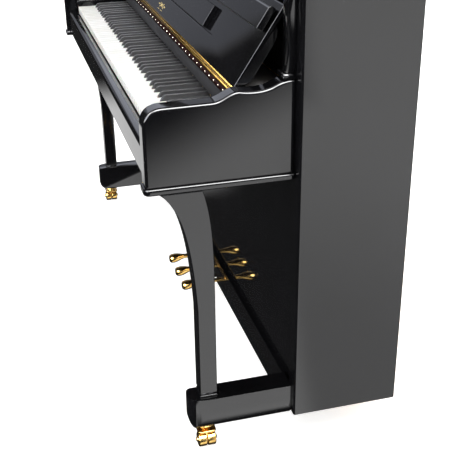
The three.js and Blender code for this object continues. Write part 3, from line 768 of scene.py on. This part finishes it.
class PIANO_OT_keyboard(bpy.types.Operator):
    """White and black keys: coverings and wooden sticks"""
    bl_idname = "piano.keyboard"
    bl_label = "Keyboard"

    def execute(self, context):
        edge = context.scene.piano_keys.white_edge
        runs = {"naturals_bass": range(0, 23), "naturals_treble": range(30, 52)}
        for i in range(23, 30):
            runs[f"key_{LETTERS[i % 7].lower()}4"] = [i]
        for body, keys in runs.items():
            self.naturals(body, keys, edge)
        runs = {"sharps_bass": range(0, 22), "sharps_treble": range(30, 51)}
        for i in range(23, 30):
            runs[f"key_{LETTERS[i % 7].lower()}4_sharp"] = [i]
        for body, keys in runs.items():
            keys = [i for i in keys if has_sharp(i)]
            if keys:
                self.sharps(body, keys)
        return {"FINISHED"}

    def naturals(self, body, keys, edge):
        tops, sticks = bmesh.new(), bmesh.new()
        for i in keys:
            x0, x1 = key_left(i) + KEY["gap"] / 2, key_left(i + 1) - KEY["gap"] / 2
            t0 = sharp_x(i - 1) + KEY["sharp"] / 2 + 1 if has_sharp(i - 1) else x0
            t1 = sharp_x(i) - KEY["sharp"] / 2 - 1 if has_sharp(i) else x1
            head = KEY["head"] - 1
            outline = [(x0, 0), (x1, 0)]
            if t1 < x1:
                outline += [(x1, head), (t1, head)]
            outline += [(t1, 152), (t0, 152)]
            if t0 > x0:
                outline += [(t0, head), (x0, head)]
            add_prism(tops, outline, KEY["top"] - 2.6, KEY["top"], "Z")
            add_prism(tops, [(x0 + 0.3, 0.6), (x1 - 0.3, 0.6), (x1 - 0.3, 2.4), (x0 + 0.3, 2.4)],
                      KEY["foot"] + 0.3, KEY["top"] - 2.5, "Z")
            wood = [(x0 + 0.4, 2.2), (x1 - 0.4, 2.2)]
            if t1 < x1:
                wood += [(x1 - 0.4, head - 0.4), (t1 - 0.4, head - 0.4)]
            wood += [(t1 - 0.4, KEY["rear"]), (t0 + 0.4, KEY["rear"])]
            if t0 > x0:
                wood += [(t0 + 0.4, head - 0.4), (x0 + 0.4, head - 0.4)]
            add_prism(sticks, wood, KEY["foot"], KEY["top"] - 2.7, "Z")
        cover = settled(soft_edges(new_object("covers", tops, "ivory"), edge, 3))
        wood = new_object("sticks", sticks, "key_wood", False)
        piece = join_pieces(f"{body}_finish", [cover, wood])
        finish_piece(piece, body, "ivory", body)

    def sharps(self, body, keys):
        tops, sticks = bmesh.new(), bmesh.new()
        for i in keys:
            x = sharp_x(i)
            low, high, foot = 5.25, 4.1, KEY["top"] - 7
            y = KEY["head"]
            levels = [  # depth, height and half width along the key's top ridge
                (y + 0.6, KEY["top"] - 5, low), (y + 1.2, KEY["top"] + 1.5, low - 0.2),
                (y + 7.5, KEY["sharp_top"] - 1.6, high + 0.2), (y + 13, KEY["sharp_top"], high),
                (KEY["sharp_rear"], KEY["sharp_top"], high)]
            rings = [[tops.verts.new(spot(x + side * half_width, depth, z))
                      for side, half_width, z in ((-1, low, foot), (-1, half, height),
                                                  (1, half, height), (1, low, foot))]
                     for depth, height, half in levels]
            for a, b in zip(rings, rings[1:]):
                for k in range(4):
                    m = (k + 1) % 4
                    tops.faces.new((a[k], a[m], b[m], b[k]))
            tops.faces.new(rings[0])
            tops.faces.new(rings[-1][::-1])
            add_prism(sticks, [(x - 5, y + 2), (x + 5, y + 2), (x + 5, KEY["sharp_stick"]),
                               (x - 5, KEY["sharp_stick"])], KEY["foot"], KEY["top"] - 7.2, "Z")
        cover = settled(soft_edges(new_object("covers", tops, "ebony"), 0.8, 3, 25))
        wood = new_object("sticks", sticks, "key_wood", False)
        piece = join_pieces(f"{body}_finish", [cover, wood])
        finish_piece(piece, body, "ebony", body)


# ---- pedals --------------------------------------------------------------------------------------

class PIANO_OT_pedals(bpy.types.Operator):
    """Three brass pedals with rounded heads"""
    bl_idname = "piano.pedals"
    bl_label = "Pedals"

    def execute(self, context):
        for name, x in (("soft", -87), ("practice", 0), ("sustain", 87)):
            bm = bmesh.new()
            # depth, half width, underside and top of the lever's cross sections
            sections = [(158.6, 6, 46, 59), (159.4, 10.5, 42.6, 62.2), (163, 14.6, 40.8, 64.4),
                        (171, 17, 40.6, 65.6), (180, 16.4, 42, 65.8), (190, 13, 46.2, 64.6),
                        (200, 9.6, 49.6, 62.6), (212, 8, 51, 61), (262, 7.6, 51, 60),
                        (300, 8, 51, 60), (341, 8, 51, 60)]
            rings = []
            for y, half, low, high in sections:
                ring = []
                for k in range(12):
                    t = 2 * math.pi * k / 12
                    c, s = math.cos(t), math.sin(t)
                    px = half * math.copysign(abs(c) ** 0.7, c)
                    pz = (low + high) / 2 + (high - low) / 2 * math.copysign(abs(s) ** 0.75, s)
                    ring.append(bm.verts.new(spot(x + px, y, pz)))
                rings.append(ring)
            for a, b in zip(rings, rings[1:]):
                for k in range(12):
                    m = (k + 1) % 12
                    bm.faces.new((a[k], a[m], b[m], b[k]))
            bm.faces.new(rings[0])
            bm.faces.new(rings[-1][::-1])
            lever = new_object("lever", bm, "brass")
            smooth = lever.modifiers.new("smooth", "SUBSURF")
            smooth.levels = smooth.render_levels = 2
            settled(lever)
            bm = bmesh.new()
            lathe(bm, [(0, -17), (2.6, -17), (3, -16.6), (3, 16.6), (2.6, 17), (0, 17)],
                  spot(x, 330, 55), (1, 0, 0), 24)
            piece = join_pieces(f"pedal_{name}_finish", [lever, new_object("pin", bm, "wire")])
            finish_piece(piece, f"pedal_{name}", "brass", f"pedal_{name}")
        return {"FINISHED"}


# ---- casters -------------------------------------------------------------------------------------

STEMS = {"front": (706, 72), "rear": (640, 462)}   # swivel axes
TRAIL = 12                                         # from a swivel axis to its wheels' axle


class PIANO_OT_casters(bpy.types.Operator):
    """Four twin-wheel brass casters"""
    bl_idname = "piano.casters"
    bl_label = "Casters"

    def execute(self, context):
        for where, (x, y) in STEMS.items():
            for end, way in ENDS.items():
                self.caster(where, end, way, x, y)
        return {"FINISHED"}

    def caster(self, where, end, way, x, y):
        stem, axle = x * way, (x + TRAIL) * way
        bm = bmesh.new()
        lathe(bm, [(0, 53.8), (22, 53.8), (24.6, 54.4), (25, 55.2), (24.6, 56.2), (23, 56.7), (0, 56.7)],
              spot(stem, y, 0), (0, 0, 1), 48)
        plate = new_object("plate", bm, "brass")
        bm = bmesh.new()
        lathe(bm, [(0, 44), (13.5, 44), (13.2, 46.5), (10.6, 49), (10.4, 51), (12.6, 53.9), (0, 53.9)],
              spot(stem, y, 0), (0, 0, 1), 40)
        neck = new_object("neck", bm, "brass")
        x0, x1 = sorted((stem - 16 * way, stem + 26 * way))
        hood = prism("hood", rounded_box(x0, x1, y - 21, y + 21, (9, 9, 9, 9), 6), 39.5, 44.2, "brass", "Z")
        hood = settled(soft_edges(hood, 1.6, 4))
        web = prism("web", [(stem - 4 * way, 40), (stem - 4 * way, 34), (axle - 7 * way, 12)]
                    + [(axle + 8 * way * math.sin(math.radians(t)), 17 - 8 * math.cos(math.radians(t)))
                       for t in range(-30, 91, 15)] + [(axle + 8 * way, 40)],
                    y - 0.8, y + 0.8, "brass", "Y")
        fork = join_pieces(f"caster_fork_{where}_{end}_finish", [plate, neck, hood, web])
        finish_piece(fork, f"caster_{where}_{end}", "brass", f"caster_fork_{where}_{end}")

        bm = bmesh.new()
        half = [(1.2, 4.5), (1.2, 15.4), (1.6, 16.4), (2.4, 16.9), (3.6, 17), (16.5, 17), (18, 16.7),
                (19.1, 15.8), (19.5, 14.4), (19.5, 11.6), (18.7, 10.6), (18.7, 7.2), (19.5, 6.2),
                (20.6, 6), (21.4, 5.4), (22.6, 4.6), (23.5, 3.2), (24, 1.4), (24, 0)]
        profile = [(r, -a) for a, r in half[::-1]] + [(r, a) for a, r in half]
        lathe(bm, profile, spot(axle, y, 17), (0, 1, 0), 48)
        wheels = new_object(f"caster_wheels_{where}_{end}_finish", bm, "brass")
        finish_piece(wheels, f"wheels_{where}_{end}", "brass", f"caster_wheels_{where}_{end}")


# ---- action and strings ---------------------------------------------------------------------------

NOTES = 88
NOTE_STEP = (NATURALS - 1) * PITCH / (NOTES - 1)    # between two hammers


def note_x(k):
    return (k - (NOTES - 1) / 2) * NOTE_STEP


def row_of(name, outline, half, first, count, step, material):
    """A prism of that outline (y, z), repeated along the keyboard."""
    piece = prism(name, outline, first - half, first + half, material)
    return repeat(piece, count, (step * MM, 0, 0))


class PIANO_OT_action(bpy.types.Operator):
    """Hammers, dampers, practice felt, strings, tuning pins and plate bolts"""
    bl_idname = "piano.action"
    bl_label = "Action and strings"

    def execute(self, context):
        self.hammers()
        self.dampers()
        self.practice_felt()
        self.strings()
        return {"FINISHED"}

    def hammers(self):
        first = note_x(0)
        shanks = row_of("shanks", [(316.6, 816), (319.8, 816), (320.2, 872), (317, 872)], 1.6,
                        first, NOTES, NOTE_STEP, "key_wood")
        mouldings = row_of("mouldings", [(316, 871), (336, 873), (340, 877), (336, 881), (316, 884.5)],
                           3.8, first, NOTES, NOTE_STEP, "beech_rail")
        felt = [(326, 868.6), (338, 869.2), (347, 872), (351.6, 876.6), (347, 881.6), (338, 884.8),
                (326, 886.4), (327, 881.4), (338, 880), (341, 877), (338, 874), (327, 873.4)]
        felts = row_of("felts", felt, 4.4, first, NOTES, NOTE_STEP, "felt")
        rail = settled(soft_edges(prism("rail", rounded_box(311, 324.5, 806, 818, (1, 1, 2, 2), 3),
                                        -640, 640, "beech_rail"), 1, 2, 60))
        piece = join_pieces("hammers_finish", [rail, shanks, mouldings, felts])
        finish_piece(piece, "hammers", "felt", "hammers")

    def dampers(self):
        first, count = note_x(0), 68
        wires = row_of("damper_wires", [(351.6, 797), (353.2, 797), (353.2, 845), (351.6, 845)], 0.8,
                       first, count, NOTE_STEP, "wire")
        blocks = row_of("damper_blocks", [(350.4, 840), (364, 840), (366, 842), (366, 855), (364, 857.6),
                                          (350.4, 857.6)], 3.6, first, count, NOTE_STEP, "stained")
        pads = row_of("damper_pads", [(366, 838.6), (377, 838.6), (380.6, 842), (380.6, 854),
                                      (377, 857.6), (366, 857.6)], 4.8, first, count, NOTE_STEP, "felt")
        rail = prism("damper_rail", rounded_box(347, 358, 788, 799, (1, 1, 1.5, 1.5), 3),
                     first - 12, note_x(count - 1) + 12, "beech_rail")
        piece = join_pieces("dampers_finish", [rail, wires, blocks, pads])
        finish_piece(piece, "dampers", "felt", "dampers")

    def practice_felt(self):
        strip = prism("strip", rounded_box(369, 372.4, 912, 951, (1.6, 1.6, 0.4, 0.4), 3),
                      -640, 640, "green_felt")
        bar = settled(soft_edges(prism("bar", rounded_box(366, 375, 950, 964, (1, 1, 2, 2), 3),
                                       -650, 650, "beech_rail"), 1, 2, 60))
        finish_piece(join_pieces("practice_felt_finish", [strip, bar]), "practice_felt", "felt",
                     "practice_felt")

    def strings(self):
        """Three sections of strings on the plate, the bass crossing in front of the others."""
        made = []
        sections = (  # first and last string at the top, lean to the treble, lower end, y, radius, count
            ("bass", -586, -270, 330, 300, 381.9, 1.1, 46, "copper"),
            ("tenor", -236, 110, 70, 330, 385.4, 0.55, 78, "wire"),
            ("treble", 134, 596, 10, 620, 385.4, 0.5, 96, "wire"))
        for name, first, last, lean, foot, y, radius, count, material in sections:
            bm = bmesh.new()
            top = spot(first, y, 1128)
            run = spot(first + lean, y, foot) - top
            lathe(bm, [(0, 0), (radius, 0), (radius, run.length / MM), (0, run.length / MM)],
                  top, run, 6)
            step = (last - first) / (count - 1) * MM
            made.append(repeat(new_object(f"{name}_strings", bm, material), count, (step, 0, 0)))
        for row, height in enumerate((1060, 1088, 1116)):
            bm = bmesh.new()
            lathe(bm, [(0, 0), (3.4, 0), (3.4, 16), (2.6, 17), (2.4, 22), (0, 22.4)],
                  spot(-600 + row * 5.4, 384.2, height), (0, -1, 0), 8)
            made.append(repeat(new_object("tuning_pins", bm, "wire"), 75, (0.0161, 0, 0)))
        for height in (1140, 1040):
            bm = bmesh.new()
            lathe(bm, [(0, 0), (8.5, 0), (8.5, 3.5), (6, 6.5), (2.5, 8.4), (0, 8.8)],
                  spot(-672, 384.2, height), (0, -1, 0), 6)
            made.append(repeat(new_object("plate_bolts", bm, "brass"), 9, (0.168, 0, 0)))
        finish_piece(join_pieces("strings_and_pins", made), "case", "iron")


# ---- back ------------------------------------------------------------------------------------------

RIB_HALF = 11        # half a rib's width


class PIANO_OT_back(bpy.types.Operator):
    """Back posts with eased edges and the soundboard's ribs between them"""
    bl_idname = "piano.back"
    bl_label = "Back"

    def execute(self, context):
        pitch, half, beam = 344, 31, 90
        end = 2 * pitch + half - 0.3
        frame_piece = prism("back_frame_finish", [(-end, 57), (end, 57), (end, 1160), (-end, 1160)],
                            424, 504, "beech", "Y")
        for k in (-1.5, -0.5, 0.5, 1.5):
            low, high = k * pitch - pitch / 2 + half, k * pitch + pitch / 2 - half
            window = prism("window", [(low, 57 + beam), (high, 57 + beam), (high, 1160 - beam),
                                      (low, 1160 - beam)], 400, 520, "beech", "Y")
            combine(frame_piece, window, "DIFFERENCE")
        finish_piece(soft_edges(frame_piece, 3, 3), "case", "beech", "back_frame")

        # Ribs run across the board's grain, thinner at their ends.
        long, rise = 430, 0.5
        profile = [(-long, 0), (long, 0), (long, 4), (long * 0.8, 11), (-long * 0.8, 11), (-long, 4)]
        bm = bmesh.new()
        for number in range(9):
            middle = 220 + number * 100
            reach = min(1.0, (middle - 110) / 260, (1120 - middle) / 260)
            c, d = math.cos(rise), math.sin(rise)
            rings = [[bm.verts.new(spot(a * reach * c - t * d, 421.2 + depth,
                                        middle + a * reach * d + t * c))
                      for a, depth in profile] for t in (-RIB_HALF, RIB_HALF)]
            bm.faces.new(rings[0][::-1])
            bm.faces.new(rings[1])
            for i in range(len(profile)):
                k = (i + 1) % len(profile)
                bm.faces.new((rings[0][i], rings[0][k], rings[1][k], rings[1][i]))
        ribs = new_object("soundboard_ribs", bm, "spruce")
        finish_piece(soft_edges(ribs, 1.5, 2, 40), "case", "spruce")
        return {"FINISHED"}


# ---- stage ---------------------------------------------------------------------------------------

# Azimuth, elevation and roll in degrees, focal length in mm for a 36 mm sensor, and the place in mm.
CAMERA = {"turn": (75.210, 25.146, -0.919), "lens": 69.64, "place": (2234.4, -277.6, 1269.4)}
# Strength of each bright area that shiny surfaces reflect, and of the dark room between them.
AREAS = {"right": 2.05, "left": 0.95, "wall": 0.3, "above": 0.85, "top": 29.0, "front": 12.0}
DARK_ROOM = 0.02


class PIANO_OT_stage(bpy.types.Operator):
    """Pale floor, soft studio light and the camera"""
    bl_idname = "piano.stage"
    bl_label = "Stage"

    def execute(self, context):
        scene = context.scene
        settings = scene.piano_stage
        bpy.ops.mesh.primitive_plane_add(size=60, location=(0, 0, 0))
        floor = context.object
        floor.name = "studio_floor"
        floor.data.materials.append(look("floor"))

        floor.visible_glossy = False
        scene.world = self.surround(settings)
        lamp_data = bpy.data.lights.new("overhead softbox", "AREA")
        lamp_data.shape = "RECTANGLE"
        lamp_data.size, lamp_data.size_y = 2.6, 2.0
        lamp_data.energy = settings.lamp_power
        lamp = bpy.data.objects.new("overhead softbox", lamp_data)
        lamp.location = (0.9, -1.4, 3.2)
        lamp.rotation_euler = (Vector((0, 0, 0.6)) - lamp.location).to_track_quat("-Z", "Y").to_euler()
        scene.collection.objects.link(lamp)
        scene.view_settings.view_transform = "Standard"
        scene.view_settings.look = "None"
        self.camera(scene)
        return {"FINISHED"}

    def surround(self, settings):
        """A white room for the floor and the white keys, and, in what shines, a dark room with
        bright areas where a studio has its softboxes and its lit floor."""
        world = bpy.data.worlds.new("studio surround")
        world.use_nodes = True
        tree = world.node_tree
        tree.nodes.clear()
        where = add_node(tree, "ShaderNodeTexCoord").outputs["Generated"]
        axes = add_node(tree, "ShaderNodeSeparateXYZ", links={"Vector": where}).outputs

        def ramp(value, start, end, low=0.0, high=1.0):
            return add_node(tree, "ShaderNodeMapRange",
                            {"From Min": start, "From Max": end, "To Min": low, "To Max": high},
                            {"Value": value}, interpolation_type="SMOOTHSTEP").outputs["Result"]

        def combine_values(operation, first, second):
            return add_node(tree, "ShaderNodeMath", links={0: first, 1: second},
                            operation=operation).outputs["Value"]

        x, y, z = axes["X"], axes["Y"], axes["Z"]
        # The lit floor and wall beyond the treble end.
        tilted = add_node(tree, "ShaderNodeVectorMath", {1: (0, 0.4545, -0.8907)}, {0: where},
                          operation="DOT_PRODUCT").outputs["Value"]
        right = combine_values("MAXIMUM", ramp(tilted, 0.35, 0.435), ramp(y, 0.29, 0.36))
        right = combine_values("MULTIPLY", right, ramp(x, 0.3, 0.6))
        right = combine_values("MULTIPLY", right, ramp(z, 0.35, 0.1))
        right = combine_values("MULTIPLY", right, ramp(z, -0.93, -0.72))
        shade = combine_values("MULTIPLY", ramp(z, -0.25, -0.64), ramp(y, 0.27, 0.31))
        right = combine_values("MULTIPLY", right, ramp(shade, 0.0, 1.0, 1.0, 0.6))
        # The lit floor in front of the bass end.
        left = combine_values("MULTIPLY", ramp(z, -0.262, -0.302), ramp(y, -0.26, -0.2))
        left = combine_values("MULTIPLY", left, ramp(z, -0.4, -0.36))
        left = combine_values("MULTIPLY", left, ramp(x, -0.3, -0.6))
        # A dim blue-grey wall far behind the bass end.
        wall = combine_values("MAXIMUM", ramp(y, -0.318, -0.292), ramp(z, 0.17, 0.23))
        wall = combine_values("MULTIPLY", wall, ramp(z, 0.0, 0.06))
        wall = combine_values("MULTIPLY", wall, ramp(z, 0.5, 0.4))
        # Softboxes overhead.
        above = combine_values("MULTIPLY", ramp(z, 0.21, 0.28), ramp(y, -0.42, -0.32))
        above = combine_values("MULTIPLY", above, ramp(z, 0.45, 0.39))
        top = combine_values("MULTIPLY", ramp(z, 0.55, 0.7), ramp(x, 0.12, 0.3))
        top = combine_values("MULTIPLY", top, ramp(y, -0.4, 0.0, 0.3, 1.0))
        front = combine_values("MULTIPLY", ramp(y, -0.36, -0.5), ramp(z, 0.02, 0.12))
        front = combine_values("MULTIPLY", front, ramp(x, 0.05, 0.2))

        total = None
        for name, area in (("right", right), ("left", left), ("wall", wall), ("above", above),
                           ("top", top), ("front", front)):
            lit = add_node(tree, "ShaderNodeMath", {1: AREAS[name]}, {0: area},
                           operation="MULTIPLY").outputs["Value"]
            total = lit if total is None else combine_values("ADD", total, lit)
        dark_room = add_node(tree, "ShaderNodeMath", {1: DARK_ROOM}, {0: total}, operation="ADD")
        cool = add_node(tree, "ShaderNodeMix", {"A": srgb("ffffff"), "B": srgb("e9edfb")},
                        {"Factor": wall}, data_type="RGBA").outputs["Result"]
        seen = add_node(tree, "ShaderNodeBackground", {}, {"Color": cool,
                        "Strength": dark_room.outputs["Value"]}).outputs["Background"]
        white = add_node(tree, "ShaderNodeBackground", {
            "Color": srgb("ffffff"), "Strength": settings.surround}).outputs["Background"]
        shine = add_node(tree, "ShaderNodeLightPath").outputs["Is Glossy Ray"]
        mixed = add_node(tree, "ShaderNodeMixShader", links={0: shine, 1: white, 2: seen})
        add_node(tree, "ShaderNodeOutputWorld", links={"Surface": mixed.outputs["Shader"]})
        return world

    def camera(self, scene):
        """The camera stands at the treble end, a little in front, and looks down on the keys."""
        azimuth, elevation, roll = (math.radians(a) for a in CAMERA["turn"])
        back = Vector((math.sin(azimuth) * math.cos(elevation),
                       -math.cos(azimuth) * math.cos(elevation), math.sin(elevation)))
        right = (-back).cross(Vector((0, 0, 1))).normalized()
        up = right.cross(-back)
        turned = math.cos(roll) * right + math.sin(roll) * up
        upward = -math.sin(roll) * right + math.cos(roll) * up
        data = bpy.data.cameras.new("camera")
        data.sensor_width = 36
        data.lens = CAMERA["lens"]
        data.clip_end = 200
        camera = bpy.data.objects.new("camera", data)
        matrix = Matrix((turned, upward, back)).transposed().to_4x4()
        matrix.translation = spot(*CAMERA["place"])
        camera.matrix_world = matrix
        scene.collection.objects.link(camera)
        scene.camera = camera


class PIANO_PT_panel(bpy.types.Panel):
    """Lists the piano's operators and settings"""
    bl_idname = "PIANO_PT_panel"
    bl_label = "Upright Piano"
    bl_space_type = "VIEW_3D"
    bl_region_type = "UI"
    bl_category = "Piano"

    def draw(self, context):
        for settings in (context.scene.piano_case, context.scene.piano_keys,
                         context.scene.piano_metal, context.scene.piano_stage):
            for name in settings.bl_rna.properties.keys():
                if name not in ("rna_type", "name"):
                    self.layout.prop(settings, name)
        for operator in OPERATORS:
            self.layout.operator(operator.bl_idname)


SETTINGS = {"piano_case": PianoCaseSettings, "piano_keys": PianoKeySettings,
            "piano_metal": PianoMetalSettings, "piano_stage": PianoStageSettings}
OPERATORS = (PIANO_OT_case, PIANO_OT_fallboard, PIANO_OT_keyboard, PIANO_OT_pedals,
             PIANO_OT_casters, PIANO_OT_action, PIANO_OT_back, PIANO_OT_stage)


def register():
    for name, group in SETTINGS.items():
        bpy.utils.register_class(group)
        setattr(bpy.types.Scene, name, bpy.props.PointerProperty(type=group))
    for made in (*OPERATORS, PIANO_PT_panel):
        bpy.utils.register_class(made)


def unregister():
    for made in (PIANO_PT_panel, *reversed(OPERATORS)):
        bpy.utils.unregister_class(made)
    for name, group in reversed(SETTINGS.items()):
        delattr(bpy.types.Scene, name)
        bpy.utils.unregister_class(group)


def main():
    register()
    bpy.ops.piano.case()
    bpy.ops.piano.fallboard()
    bpy.ops.piano.keyboard()
    bpy.ops.piano.pedals()
    bpy.ops.piano.casters()
    bpy.ops.piano.action()
    bpy.ops.piano.back()
    bpy.ops.piano.stage()


if __name__ == "__main__":
    main()
